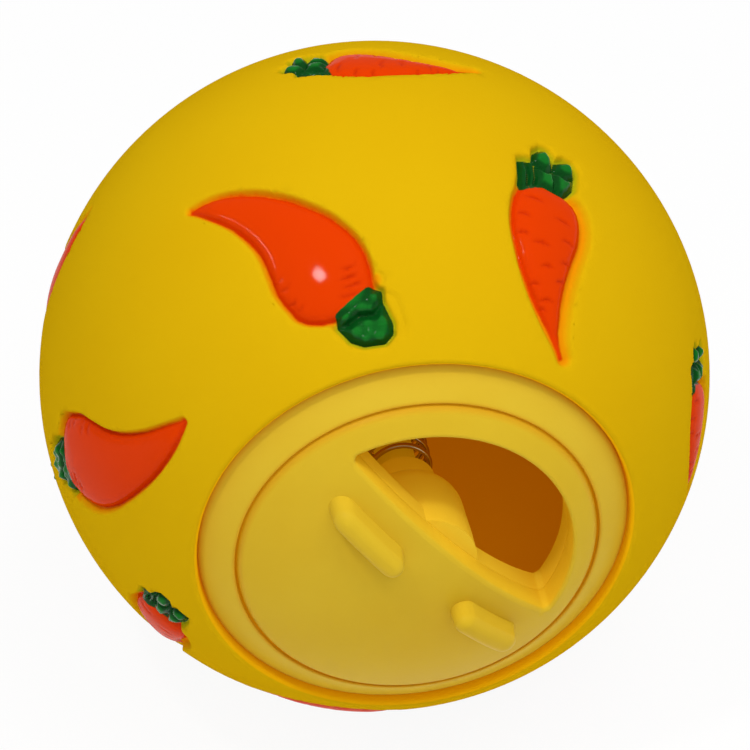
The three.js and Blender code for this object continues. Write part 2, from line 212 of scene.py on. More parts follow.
# Ball shell: hollow soft vinyl, cast in one piece with sunk pockets in which carrots and
# chilli peppers stand about flush, sprayed orange and green by hand through masks. A round
# mouth with a thick rolled lip holds the ring.

# A vegetable is drawn flat in millimetres, crown up and tip down, along a spine that starts
# at a point, heads down with a tilt and bends towards +x. body rows: distance from the crown,
# half width, height over the pocket's floor. A leaf is an outline, a height at a point of it
# and how the height changes along x and y, and lumps (x, y, radius, height) stand on the
# leaves. A pad is a run of round (x, y, radius) dips beside them, and a wrinkle is a place
# along the spine, a share of the half width to the side and a reach.
CARROT = {
    "length": 18.5, "bend": 46.5, "bend_power": 1.3, "start": (1.08, 0.12), "tilt": -9.4,
    "middle": (1.2, -6.0), "margin": 0.75, "wall": 0.8, "aside": -0.22, "stop": 17.9,
    "body": [(0, 1.3, 0.80), (0.3, 2.3, 0.92), (0.9, 3.05, 1.0), (2.0, 3.6, 1.05),
             (4.6, 3.88, 1.08), (8.3, 3.06, 1.04), (12.9, 1.6, 0.85), (15.5, 0.75, 0.5),
             (17.2, 0.25, 0.1), (18.5, 0.1, 0.0)],
    "leaves": [
        ([(-3.0, 2.9), (-2.2, 3.2), (-1.95, 1.3), (-2.05, -0.6), (-2.6, -1.0), (-3.0, -0.3)],
         0.90, (-2.6, 1.0), (0.12, 0.02)),
        ([(-2.1, 3.15), (-1.25, 3.3), (-1.1, 1.4), (-1.4, -0.4), (-1.95, -0.65), (-1.8, 1.2)],
         0.95, (-1.5, 1.2), (-0.10, 0.02)),
        ([(-1.35, 3.4), (-1.1, 4.7), (-0.3, 5.5), (0.5, 5.45), (1.15, 4.4), (1.1, 3.1),
          (0.1, 2.6)],
         1.0, (0.0, 4.0), (-0.10, 0.05)),
        ([(-1.0, 3.0), (0.1, 2.6), (1.1, 3.0), (1.3, 1.2), (1.0, -0.1), (-0.2, 0.25),
          (-1.3, -0.35), (-0.95, 1.3)],
         0.92, (0.0, 1.2), (0.10, -0.02)),
        ([(1.15, 3.2), (1.45, 4.4), (2.5, 5.0), (3.45, 4.9), (3.8, 3.9), (3.7, 3.0),
          (2.3, 2.65)],
         1.0, (2.5, 3.8), (0.06, 0.08)),
        ([(1.15, 3.0), (2.3, 2.6), (3.7, 2.95), (3.45, 1.5), (2.9, 0.7), (2.15, 0.0),
          (1.2, -0.1), (1.05, 0.9)],
         0.92, (2.2, 1.4), (-0.08, 0.04)),
    ],
    "lumps": [(-2.5, 1.6, 0.35, 0.10), (0.1, 4.2, 0.4, 0.08), (2.7, 3.9, 0.4, 0.10)],
    "pads": [],
    "wrinkles": [(2.2, -0.55, 0.9), (4.3, -0.75, 0.6), (3.6, 0.35, 0.9), (5.8, 0.62, 0.8),
                 (6.2, -0.80, 0.6), (6.9, -0.25, 0.9), (8.4, 0.70, 0.6), (9.2, -0.10, 0.7),
                 (10.6, 0.60, 0.6), (12.6, -0.30, 0.8), (13.5, -0.85, 0.5), (11.0, -0.75, 0.5)],
}
PEPPER = {
    "length": 22.6, "bend": 79.6, "bend_power": 1.03, "start": (0.26, 1.13), "tilt": -7.2,
    "middle": (5.0, -6.0), "margin": 0.35, "wall": 0.5, "aside": 0.0, "stop": 22.6,
    "body": [(0, 1.6, 0.80), (0.3, 2.6, 0.95), (0.9, 3.45, 1.05), (2.7, 4.25, 1.12),
             (5.6, 4.7, 1.12), (8.5, 4.2, 1.1), (11.3, 3.35, 1.06), (16.9, 1.93, 0.85),
             (20.4, 0.95, 0.55), (22.6, 0.1, 0.1)],
    "leaves": [
        ([(0.26, 0.64), (-1.53, -0.11), (-3.6, -0.96), (-4.69, -0.16), (-4.42, 1.03), (-3.2, 1.9),
          (-1.75, 1.45), (-0.6, 1.95), (0.64, 2.05), (0.41, 0.87)],
         0.74, (-2.0, 0.8), (0.0, 0.05)),
        ([(-4.42, 1.03), (-4.68, 3.37), (-4.32, 4.37), (-3.26, 4.98), (-1.2, 4.54), (-0.13, 3.73),
          (0.6, 2.1), (-0.8, 1.95), (-1.8, 1.55), (-3.2, 1.9)],
         0.78, (-2.0, 3.2), (-0.03, 0.03)),
    ],
    "lumps": [(-2.3, 0.9, 0.5, 0.30), (-3.9, 0.2, 0.5, 0.30), (-0.5, 1.3, 0.45, 0.28),
              (-3.9, 2.8, 0.5, 0.28), (-3.0, 4.2, 0.45, 0.28), (-1.0, 2.9, 0.5, 0.30),
              (-2.4, 2.4, 0.45, 0.24), (-1.6, 4.0, 0.4, 0.24), (-3.1, 1.2, 0.35, 0.20),
              (-1.3, 0.6, 0.3, 0.20), (-2.2, 3.3, 0.3, 0.18)],
    "pads": [[(-5.0, 1.2, 1.0), (-4.9, 3.9, 1.0)], [(-4.6, -1.4, 0.9), (-3.6, -1.6, 0.6)]],
    "wrinkles": [(1.8, -0.45, 0.9), (2.6, -0.55, 0.9), (3.4, -0.50, 0.9), (4.2, -0.60, 0.7),
                 (2.4, 0.82, 0.5), (3.4, 0.86, 0.5), (5.6, 0.80, 0.6), (6.9, 0.84, 0.5)],
}

# Kind, degrees from the mouth's axis, degrees round it from straight up towards +x, degrees
# it is turned away from having its tip towards the mouth, scale, and for one its own bend.
MOTIFS = [
    (PEPPER, 61.4, -25, 177.6, 1), (CARROT, 63.9, 30.1, -0.6, 1),
    (PEPPER, 66.6, -74.6, 20.5, 1.03, 63), (CARROT, 105.1, 2.8, 71.5, 0.85),
    (PEPPER, 113.5, -74.6, 32.5, 1), (CARROT, 58.4, -122.4, 222.3, 0.85),
    (CARROT, 64.6, 87.4, 68, 0.76), (CARROT, 51.8, -164, 86, 1), (PEPPER, 74, 146, 88, 1),
    (PEPPER, 113, 58, 205, 1), (CARROT, 105, 108, -30, 1), (PEPPER, 112, 152, 96, 0.85),
    (CARROT, 104, -151, 172, 1), (PEPPER, 103, -116, 181, 1), (CARROT, 147, 35, 84, 1),
    (PEPPER, 146, 155, 70, 1), (CARROT, 146, -85, 88, 1),
]

POCKET_DEPTH = 0.95
TIP_START = 0.6
TIP_RISE = 0.45
POCKET_BLEND = 0.9
LEAF_EDGE = 0.75
LEAF_MARGIN = 0.28
PAD_DEPTH = 0.22
PAD_HALF_WALL = 0.2
PAD_MARGIN = 0.3
CREASE_DEPTH = 0.17
CREASE_WIDTH = 0.16
CREASE_BOW = 0.12
MOTIF_REACH = 22
FAR = 4.0


def smooth_step(value, low, high):
    share = np.clip((value - low) / (high - low), 0, 1)
    return share * share * (3 - 2 * share)


def smooth_least(first, second, width):
    """The lesser of two distances, with a rounded join of about that width."""
    overlap = np.clip(width - np.abs(first - second), 0, None) / width
    return np.minimum(first, second) - overlap * overlap * width / 4


def rows_at(rows, column, distances):
    """A row value at distances along the spine, eased through the rows."""
    places = np.array([row[0] for row in rows])
    values = np.array([row[column] for row in rows])
    slopes = np.gradient(values, places)
    index = np.clip(np.searchsorted(places, distances) - 1, 0, len(places) - 2)
    gap = places[index + 1] - places[index]
    share = np.clip((distances - places[index]) / gap, 0, 1)
    rise = smooth_step(share, 0, 1)
    lead = share * (1 - share) * (1 - share) * gap * slopes[index]
    tail = share * share * (share - 1) * gap * slopes[index + 1]
    return values[index] * (1 - rise) + values[index + 1] * rise + lead + tail


def spine(kind, bend):
    """Distances from the crown, and the points and headings of the spine there."""
    distances = np.linspace(0, kind["length"], 120)
    share = (distances[1:] + distances[:-1]) / 2 / kind["length"]
    headings = np.radians(-90 + kind["tilt"] + bend * share ** kind["bend_power"])
    run = np.stack([np.cos(headings), np.sin(headings)], 1) * distances[1]
    points = np.vstack([[0, 0], np.cumsum(run, 0)]) + kind["start"]
    return distances, points, np.append(headings, headings[-1])


def outline_distance(points, outline):
    """Distance of flat points to a closed outline, negative inside it."""
    run = np.roll(outline, -1, 0) - outline
    offset = points[:, None] - outline
    share = np.clip((offset * run).sum(2) / np.maximum((run * run).sum(1), 1e-9), 0, 1)
    distance = np.linalg.norm(offset - share[..., None] * run, axis=2).min(1)
    after = np.roll(outline, -1, 0)
    straddles = (outline[:, 1] > points[:, 1:]) != (after[:, 1] > points[:, 1:])
    height = np.where(np.abs(run[:, 1]) < 1e-9, 1e-9, run[:, 1])
    crossing = outline[:, 0] + (points[:, 1:] - outline[:, 1]) / height * run[:, 0]
    inside = (straddles & (points[:, :1] < crossing)).sum(1) % 2 == 1
    return np.where(inside, -distance, distance)


def lobe_distance(points, lobe):
    """Distance of flat points to a run of round blobs, negative inside it."""
    best = np.full(len(points), FAR)
    for (x, y, radius), (next_x, next_y, next_radius) in zip(lobe, lobe[1:]):
        run = np.array([next_x - x, next_y - y])
        offset = points - [x, y]
        share = np.clip(offset @ run / (run @ run), 0, 1)
        gap = np.linalg.norm(offset - share[:, None] * run, axis=1)
        best = np.minimum(best, gap - radius - share * (next_radius - radius))
    return best


def dome(distance, edge):
    """0 outside an edge and 1 well inside it, rising like a quarter round."""
    inside = np.clip(-distance / edge, 0, 1)
    return np.sqrt(np.clip(1 - (1 - inside) ** 2, 0, 1))


def vegetable_field(kind, bend, flat):
    """Distances of flat points to body, leaves and pocket, and the height of the relief."""
    distances, points, headings = spine(kind, bend)
    sideways = np.stack([-np.sin(headings), np.cos(headings)], 1)
    wide = sideways * rows_at(kind["body"], 1, distances)[:, None]
    mould = outline_distance(flat, np.vstack([points + wide, (points - wide)[::-1]]))
    points = points + sideways * kind["aside"]
    places = distances * kind["length"] / kind["stop"]
    widths = rows_at(kind["body"], 1, places)
    wide = sideways * widths[:, None]
    body = outline_distance(flat, np.vstack([points + wide, (points - wide)[::-1]]))
    nearest = np.linalg.norm(flat[:, None] - points, axis=2).argmin(1)
    along = distances[nearest]
    width = np.maximum(widths[nearest], 0.3)
    side = ((flat - points[nearest]) * sideways[nearest]).sum(1) / width
    tip = smooth_step(along, TIP_START * kind["length"], kind["length"])
    depth = POCKET_DEPTH * (1 - TIP_RISE * tip)

    leaf = np.full(len(flat), FAR)
    leaf_height = np.full(len(flat), -FAR)
    for corners, height, place, slope in kind["leaves"]:
        distance = outline_distance(flat, np.array(corners))
        ridge = np.clip(-distance / LEAF_EDGE, 0, 1) ** 0.55
        rise = (height + (flat - place) @ np.array(slope)) * ridge - POCKET_DEPTH
        leaf_height = np.where(distance < 0, np.maximum(leaf_height, rise), leaf_height)
        leaf = np.minimum(leaf, distance)
    for x, y, radius, height in kind["lumps"]:
        lump = height * np.exp(-((flat - (x, y)) ** 2).sum(1) / radius ** 2)
        leaf_height = leaf_height + lump * (leaf < 0)
    pocket = smooth_least(mould - kind["margin"], leaf - LEAF_MARGIN, POCKET_BLEND)
    half_wall = kind["wall"] / 2
    floor = -depth * (1 - smooth_step(pocket, -half_wall, half_wall))
    for pad in kind["pads"]:
        dip = lobe_distance(flat, pad)
        rise = smooth_step(dip, -PAD_HALF_WALL, PAD_HALF_WALL)
        floor = np.minimum(floor, -PAD_DEPTH * (1 - rise))
        pocket = np.minimum(pocket, dip + PAD_MARGIN)
    height = rows_at(kind["body"], 2, places)[nearest]
    crease = np.zeros(len(flat))
    for place, middle, reach in kind["wrinkles"]:
        off = ((side - middle) * width / reach) ** 2
        line = np.exp(-((along - place - CREASE_BOW * off) / CREASE_WIDTH) ** 2)
        crease = np.maximum(crease, line * np.exp(-off ** 1.5) * (body < 0))
    body_height = height * dome(body, width * 0.9) ** 0.8 - depth - CREASE_DEPTH * crease
    level = np.where(body < 0, np.maximum(floor, body_height), floor)
    level = np.where(leaf < 0, np.maximum(level, leaf_height), level)
    return body, leaf, pocket, level, crease


def ball_field(places):
    """The same over the ball, for places in the mouth's frame, with zero relief far away."""
    ways = places / np.linalg.norm(places, axis=1, keepdims=True)
    body = np.full(len(ways), FAR)
    leaf = np.full(len(ways), FAR)
    pocket = np.full(len(ways), FAR)
    level = np.zeros(len(ways))
    crease = np.zeros(len(ways))
    for kind, polar, around, turn, scale, *bend in MOTIFS:
        polar, around, turn = np.radians([polar, around, turn])
        outward = np.array([
            math.sin(polar) * math.sin(around), math.sin(polar) * math.cos(around),
            math.cos(polar)])
        across_way = np.array([math.cos(around), -math.sin(around), 0])
        along_way = np.cross(outward, across_way)
        facing = ways @ outward
        near = np.nonzero(facing > math.cos(MOTIF_REACH / BALL_RADIUS))[0]
        angle = np.arccos(np.clip(facing[near], -1, 1))
        reach = BALL_RADIUS * angle / np.maximum(np.sin(angle), 1e-9)
        across = reach * (ways[near] @ across_way)
        along = reach * (ways[near] @ along_way)
        flat = np.stack([
            across * math.cos(turn) + along * math.sin(turn),
            along * math.cos(turn) - across * math.sin(turn),
        ], 1) / scale + kind["middle"]
        found = vegetable_field(kind, bend[0] if bend else kind["bend"], flat)
        closer = found[2] < pocket[near]
        chosen = near[closer]
        for whole, part in zip((body, leaf, pocket), found):
            whole[chosen] = np.minimum(part[closer] * scale, FAR)
        level[chosen] = found[3][closer]
        crease[chosen] = found[4][closer]
    return body, leaf, pocket, level, crease


# The mouth's lip follows the ring that sits in it
LIP_ROUND = 0.5
SEAT_GAP = 0.14
frame_low, frame_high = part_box("mouth_frame")
FLANGE_RADIUS = (frame_high.x - frame_low.x) / 2 / MM
RING_SINK = 1.35
RING_DOME = BALL_RADIUS - RING_SINK
FLANGE_EDGE = 1.4
FLANGE_OVERHANG = 1.65
RIM_DEPTH = 2.6
SHELL_WALL = 2.8
SHARP_CORNER = 0.12
neck_radius = FLANGE_RADIUS - FLANGE_OVERHANG
seat_height = math.sqrt(RING_DOME ** 2 - FLANGE_RADIUS ** 2) - FLANGE_EDGE - SEAT_GAP
rim_inner = seat_height - RIM_DEPTH
lip_centre_radius = FLANGE_RADIUS + SEAT_GAP + LIP_ROUND
lip_centre_height = math.sqrt((BALL_RADIUS - LIP_ROUND) ** 2 - lip_centre_radius ** 2)
lip_angle = math.atan2(lip_centre_height, lip_centre_radius)


def arc(x, y, radius, start, end, steps):
    """Points on an arc, in degrees, both ends included."""
    angles = np.radians(np.linspace(start, end, steps + 1))
    return [(x + radius * math.cos(a), y + radius * math.sin(a)) for a in angles]


vinyl = bmesh.new()
bmesh.ops.create_icosphere(vinyl, subdivisions=6, radius=BALL_RADIUS)
# Finer where the relief is: how far round each outline the three passes reach, in mm
for reach, wall_only in ((1.6, False), (0.75, False), (0.42, True)):
    places = np.array([v.co[:] for v in vinyl.verts])
    body, leaf, pocket, level, crease = ball_field(places)
    if wall_only:
        close = (np.abs(pocket) < reach) | (np.abs(body) < 0.3) | (leaf < 0.1) | (crease > 0.1)
    else:
        close = pocket < reach
    vinyl.verts.index_update()
    edges = [e for e in vinyl.edges if close[e.verts[0].index] and close[e.verts[1].index]]
    bmesh.ops.subdivide_edges(vinyl, edges=edges, cuts=1, use_grid_fill=True)
    for v in vinyl.verts:
        v.co = v.co.normalized() * BALL_RADIUS

lip_height = BALL_RADIUS * math.sin(lip_angle)
bmesh.ops.bisect_plane(
    vinyl, geom=[*vinyl.verts, *vinyl.edges, *vinyl.faces], dist=0.01,
    plane_co=(0, 0, lip_height), plane_no=(0, 0, 1), clear_outer=True)
inner_radius = BALL_RADIUS - SHELL_WALL
inner_angle = math.degrees(math.asin(rim_inner / inner_radius))
seat_radius = FLANGE_RADIUS + SEAT_GAP
bore_radius = neck_radius + SEAT_GAP
rim_profile = [
    *arc(lip_centre_radius, lip_centre_height, LIP_ROUND, math.degrees(lip_angle), 180, 7),
    (seat_radius, seat_height + SHARP_CORNER), (seat_radius - SHARP_CORNER, seat_height),
    (bore_radius + SHARP_CORNER, seat_height), (bore_radius, seat_height - SHARP_CORNER),
    (bore_radius, rim_inner + SHARP_CORNER), (bore_radius + SHARP_CORNER, rim_inner),
    *arc(0, 0, inner_radius, inner_angle, -90, 26),
]
rim = [e for e in vinyl.edges if e.is_boundary]
for step, (radius, height) in enumerate(rim_profile):
    if step:
        made = bmesh.ops.extrude_edge_only(vinyl, edges=rim)["geom"]
        rim = [e for e in made if isinstance(e, bmesh.types.BMEdge)]
    for v in {v for e in rim for v in e.verts}:
        way = Vector((v.co.x, v.co.y, 0)).normalized()
        v.co = way * max(radius, 1e-4) + Vector((0, 0, height))
inner_verts = [v for v in vinyl.verts if v.co.length < inner_radius + 0.5]
bmesh.ops.remove_doubles(vinyl, verts=inner_verts, dist=0.002)
bmesh.ops.recalc_face_normals(vinyl, faces=vinyl.faces)
shell_mesh = bpy.data.meshes.new("ball_shell_moulded")
vinyl.to_mesh(shell_mesh)
vinyl.free()

places = np.zeros(len(shell_mesh.vertices) * 3)
shell_mesh.vertices.foreach_get("co", places)
places = places.reshape(-1, 3)
radius = np.linalg.norm(places, axis=1)
outside = (radius > BALL_RADIUS - 0.05) & (places[:, 2] < lip_height - 1e-3)
found = ball_field(places[outside])
places[outside] *= (1 + found[3] / BALL_RADIUS)[:, None]
bare = {"body_edge": FAR, "leaf_edge": FAR, "pocket_edge": FAR, "relief": 0.0, "crease": 0.0}
inside = ~outside & (places[:, 2] < rim_inner + 0.3) & (radius < BALL_RADIUS - 1)
masks = {"inner_wall": inside, "seat": ~outside & ~inside & (radius < BALL_RADIUS - 0.35)}
for name, rest in bare.items():
    masks[name] = np.full(len(places), rest)
    masks[name][outside] = found[list(bare).index(name)]
for name, values in masks.items():
    attribute = shell_mesh.attributes.new(name, "FLOAT", "POINT")
    attribute.data.foreach_set("value", values.astype(np.float32))
shell_mesh.vertices.foreach_set("co", places.ravel())

# From the mouth's frame in millimetres to the row's frame in metres
MOUTH_TO_ROW = Matrix((
    (MM, 0, 0, 0), (0, 0, -MM, 0), (0, MM, 0, BALL_RADIUS * MM), (0, 0, 0, 1)))


def piece(name, mesh, body, slot, *replaced):
    """Sets a finished mesh in its place as a piece on a body, in place of CAD nodes."""
    mesh.transform(MOUTH_TO_ROW)
    mesh.name = name
    mesh.shade_smooth()
    made = bpy.data.objects.new(name, mesh)
    bpy.context.scene.collection.objects.link(made)
    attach(made, body)
    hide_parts(*replaced)
    return made


shell = piece("ball_shell_moulded", shell_mesh, "ball", "vinyl", "ball_shell")

YELLOW = (0.665, 0.405, 0.003)
DEEP_YELLOW = (0.620, 0.310, 0.001)
PAINT_ORANGE = (0.700, 0.042, 0.000)
CREASE_SHADE_ORANGE = (0.500, 0.018, 0.000)
THIN_ORANGE = (0.780, 0.210, 0.001)
PAINT_GREEN = (0.006, 0.150, 0.014)
VALLEY_SHADE_GREEN = (0.002, 0.062, 0.007)
THIN_GREEN = (0.360, 0.440, 0.006)
INNER_SHADE_ORANGE = (0.620, 0.250, 0.003)
INNER_PAINTED_GLOW = (0.125, 0.052, 0.000)
GAP_PAINTED_GLOW = (0.200, 0.062, 0.000)

vinyl_finish = Finish(
    "painted_vinyl", Specular_IOR_Level=0.0, Coat_Roughness=0.07, Coat_IOR=1.22,
    Emission_Strength=1.0)
cloudy = vinyl_finish.noise(45, 2, 0.5)
grain = vinyl_finish.noise(2600, 4, 0.65)
mist = vinyl_finish.noise(1500, 3, 0.7)
broad_mist = vinyl_finish.noise(420, 2, 0.5)
ripple = vinyl_finish.noise(1000, 3, 0.6)
inner_mask = vinyl_finish.attribute("inner_wall")
seat_mask = vinyl_finish.attribute("seat")
body_edge = vinyl_finish.attribute("body_edge")
scatter = (mist - 0.5) + (broad_mist - 0.5)
spray_edge = body_edge + scatter * 0.25
pocket_edge = vinyl_finish.attribute("pocket_edge") + (mist - 0.5) * 0.2
leaf_edge = vinyl_finish.attribute("leaf_edge") + scatter * 0.12
relief = vinyl_finish.attribute("relief")
skin = vinyl_finish.mix(YELLOW, DEEP_YELLOW, (cloudy - 0.35) * 0.6)
# The ball's inner wall is painted deeper orange: painted shade for the dim inside
skin = vinyl_finish.mix(skin, INNER_SHADE_ORANGE, inner_mask)
overspray = pocket_edge.fade(-0.3, 0.3) * spray_edge.fade(0.4, 1.5)
skin = vinyl_finish.mix(skin, THIN_ORANGE, overspray * 0.75)
skin = vinyl_finish.mix(skin, PAINT_ORANGE, spray_edge.fade(0.0, 0.4))
# The wrinkles are painted darker orange: painted shade in their grooves
skin = vinyl_finish.mix(skin, CREASE_SHADE_ORANGE, vinyl_finish.attribute("crease") * 0.7)
off_body = 1 - spray_edge.fade(0.1, 0.7)
skin = vinyl_finish.mix(skin, THIN_GREEN, leaf_edge.fade(0.1, 0.5) * off_body * 0.7)
leaf_paint = leaf_edge.fade(0.0, 0.14)
# Painted shade: the leaves are darker green in their low places, with some random change
raised_unshaded_share = relief.fade(0.02, -0.28) + (broad_mist - 0.5) * 0.7
green = vinyl_finish.mix(VALLEY_SHADE_GREEN, PAINT_GREEN, raised_unshaded_share)
skin = vinyl_finish.mix(skin, green, leaf_paint)
body_paint = spray_edge.fade(0.0, 0.3) * (1 - leaf_paint)
painted = body_paint.math("MAXIMUM", leaf_paint)
# Painted light: the inner wall and the ring's seat glow faintly, as if lit through the vinyl
glow = vinyl_finish.mix((0, 0, 0), INNER_PAINTED_GLOW, inner_mask)
vinyl_finish.feed(
    Base_Color=skin,
    Coat_Weight=body_paint * 0.3 + leaf_paint * 0.9,
    Roughness=0.46 - painted * 0.14 + (grain - 0.5) * 0.08,
    Emission_Color=vinyl_finish.mix(glow, GAP_PAINTED_GLOW, seat_mask),
)
flank = body_edge.fade(-0.4, -1.8) * body_paint
uneven = broad_mist * 0.7 + ripple * (flank * 2.2 + leaf_paint * 4.5 + 0.12)
vinyl_finish.bump(grain * (1 - painted) * 0.35 + uneven * painted, 0.00009, 0.6)
shell.data.materials.append(vinyl_finish.material)


# Mouth ring: harder plastic, moulded in one piece with the domed plate that the disc turns
# on and the boss in the plate's middle. Its neck snaps into the shell's rim by a barb.

PLATE_DROP = 2.8
RECESS_RADIUS = 18.4
PLATE_THICKNESS = 2.3
BOSS_DEPTH = 10.45
BOSS_RADIUS = 5.6
BORE_RADIUS = 2.3
OPENING_RADIUS = 15.45
OPENING_CHORD = 4.0
OPENING_CORNER = 0.6
OPENING_ANGLE = math.radians(41.6)
BARB_REACH = 1.3
BARB_EDGE = 0.5
BARB_DEPTH = 1.5
NECK_WALL = 1.8
BOSS_FOOT = 28.0
SHOULDER_RADIUS = 5.4
SHOULDER_HEIGHT = 21.95
BOSS_END_RADIUS = 3.9
COLLAR_RADIUS = 3.45
COLLAR_END = 17.6
CUTTER_START = 15
SHARP_ANGLE = math.radians(34)


def dome_arc(radius, start, end, steps):
    """A dome's profile between two distances from the mouth's axis, with no rounded corner."""
    ends = [math.degrees(math.acos(distance / radius)) for distance in (start, end)]
    return [(x, height, 0) for x, height in arc(0, 0, radius, *ends, steps)]


def dome_corner(distance, rounding):
    """The ring's dome at a distance from the mouth's axis, as a rounded corner."""
    return distance, math.sqrt(RING_DOME ** 2 - distance ** 2), rounding


def turned(corners, steps):
    """A closed profile of (radius, height, rounding) spun about the mouth's axis."""
    solid = bmesh.new()
    made = [solid.verts.new((radius, 0, height)) for radius, height, _ in corners]
    solid.faces.new(made)
    for vertex, (_, _, rounding) in zip(made, corners):
        if rounding:
            bmesh.ops.bevel(
                solid, geom=[vertex], offset=rounding, offset_type="OFFSET", affect="VERTICES",
                segments=5, profile=0.5, material=-1, clamp_overlap=True)
    bmesh.ops.delete(solid, geom=solid.faces[:], context="FACES_ONLY")
    on_axis = [e for e in solid.edges if max(v.co.x for v in e.verts) < 1e-6]
    bmesh.ops.delete(solid, geom=on_axis, context="EDGES")
    bmesh.ops.spin(
        solid, geom=[*solid.verts, *solid.edges], axis=(0, 0, 1), cent=(0, 0, 0),
        angle=math.tau, steps=steps, use_merge=True)
    bmesh.ops.remove_doubles(solid, verts=solid.verts, dist=1e-4)
    bmesh.ops.recalc_face_normals(solid, faces=solid.faces)
    return solid


def opening_outline(grown, *chord):
    """The D-shaped opening, its straight side facing the axis, with chord points put in."""
    corner_x = OPENING_CHORD + OPENING_CORNER
    corner_y = math.sqrt((OPENING_RADIUS - OPENING_CORNER) ** 2 - corner_x ** 2)
    turn = math.degrees(math.atan2(corner_y, corner_x))
    return [
        *arc(0, 0, OPENING_RADIUS + grown, -turn, turn, 72)[1:-1],
        *arc(corner_x, corner_y, OPENING_CORNER + grown, turn, 180, 8),
        *chord,
        *arc(corner_x, -corner_y, OPENING_CORNER + grown, 180, 360 - turn, 8),
    ]


def raised(solid, faces, height):
    """Draws faces out to a height, and gives the corners that they end at."""
    grown = bmesh.ops.extrude_face_region(solid, geom=faces)["geom"]
    ends = [v for v in grown if isinstance(v, bmesh.types.BMVert)]
    bmesh.ops.translate(solid, verts=ends, vec=(0, 0, height))
    return ends


def combined(operation, *solids):
    """One mesh of some solids: the others joined to the first, or cut out of it."""
    things = []
    for solid in solids:
        mesh = bpy.data.meshes.new("raw")
        solid.to_mesh(mesh)
        solid.free()
        things.append(bpy.data.objects.new("raw", mesh))
        bpy.context.scene.collection.objects.link(things[-1])
    for other in things[1:]:
        step = things[0].modifiers.new("combined", "BOOLEAN")
        step.operation = operation
        step.solver = "EXACT"
        step.object = other
    whole = things[0].evaluated_get(bpy.context.evaluated_depsgraph_get())
    result = bpy.data.meshes.new_from_object(whole)
    for thing in things:
        bpy.data.meshes.remove(thing.data)
    return result


plate_dome = RING_DOME - PLATE_DROP
under_dome = plate_dome - PLATE_THICKNESS
flange_under = seat_height + SEAT_GAP
barb_top = rim_inner - SEAT_GAP
boss_end = plate_dome - BOSS_DEPTH
ring_solid = turned([
    *dome_arc(plate_dome, BORE_RADIUS, RECESS_RADIUS, 24),
    dome_corner(RECESS_RADIUS, 0.3),
    *dome_arc(RING_DOME, RECESS_RADIUS + 0.6, FLANGE_RADIUS - 0.7, 6),
    dome_corner(FLANGE_RADIUS, 0.32),
    (FLANGE_RADIUS, flange_under, 0.12), (neck_radius, flange_under, 0.1),
    (neck_radius, barb_top, 0.1), (neck_radius + BARB_REACH, barb_top, 0.12),
    (neck_radius + BARB_REACH, barb_top - BARB_EDGE, 0.12),
    (neck_radius, barb_top - BARB_DEPTH, 0.15),
    (neck_radius - NECK_WALL, barb_top - BARB_DEPTH, 0.2),
    *dome_arc(under_dome, neck_radius - NECK_WALL, BOSS_RADIUS + 0.3, 16),
    (BOSS_RADIUS, BOSS_FOOT, 0), (SHOULDER_RADIUS, SHOULDER_HEIGHT, 1.3),
    (BOSS_END_RADIUS, boss_end, 0.6), (COLLAR_RADIUS, boss_end, 0.1),
    (COLLAR_RADIUS, COLLAR_END, 0.15), (BORE_RADIUS, COLLAR_END, 0.15),
], 192)
cutter = bmesh.new()
boss_reach = math.degrees(math.acos(OPENING_CHORD / BOSS_RADIUS))
round_boss = arc(0, 0, BOSS_RADIUS, boss_reach, -boss_reach, 24)
outline = [cutter.verts.new((x, y, 0)) for x, y in opening_outline(0, *round_boss)]
raised(cutter, [cutter.faces.new(outline)], BALL_RADIUS)
bmesh.ops.recalc_face_normals(cutter, faces=cutter.faces)
bmesh.ops.translate(cutter, verts=cutter.verts, vec=(0, 0, CUTTER_START))
bmesh.ops.rotate(
    cutter, verts=cutter.verts, cent=(0, 0, 0), matrix=Matrix.Rotation(OPENING_ANGLE, 3, "Z"))
ring_mesh = combined("DIFFERENCE", ring_solid, cutter)
ring = piece("mouth_ring_moulded", ring_mesh, "ball", "ring_plastic", "mouth_frame")
ring_mesh.set_sharp_from_angle(angle=SHARP_ANGLE)

RING_YELLOW = (0.690, 0.465, 0.028)
RING_DEEP = (0.650, 0.375, 0.006)
# A painted glow, for light through the plastic from behind
PAINTED_BACK_GLOW = (0.145, 0.078, 0.000)
# Painted shade: orange in the gaps round the ring's recess, its flange and the disc's rim
GAP_SHADE_ORANGE = (0.620, 0.240, 0.002)
# Distances from the ball's centre, in metres, between which the painted back glow fades
PAINTED_GLOW_DEPTH = (0.0331, 0.0335)


def centre_distance(finish, axes):
    """Distance of a point of a piece from the ball's centre along some axes, in metres."""
    place = finish.add("ShaderNodeTexCoord", {}, output="Object")
    centre = (0, 0, BALL_RADIUS * MM)
    offset = finish.add("ShaderNodeVectorMath", {"operation": "SUBTRACT"}, place, centre)
    flat = finish.add("ShaderNodeVectorMath", {"operation": "MULTIPLY"}, offset, axes)
    return finish.add("ShaderNodeVectorMath", {"operation": "LENGTH"}, flat, output="Value")


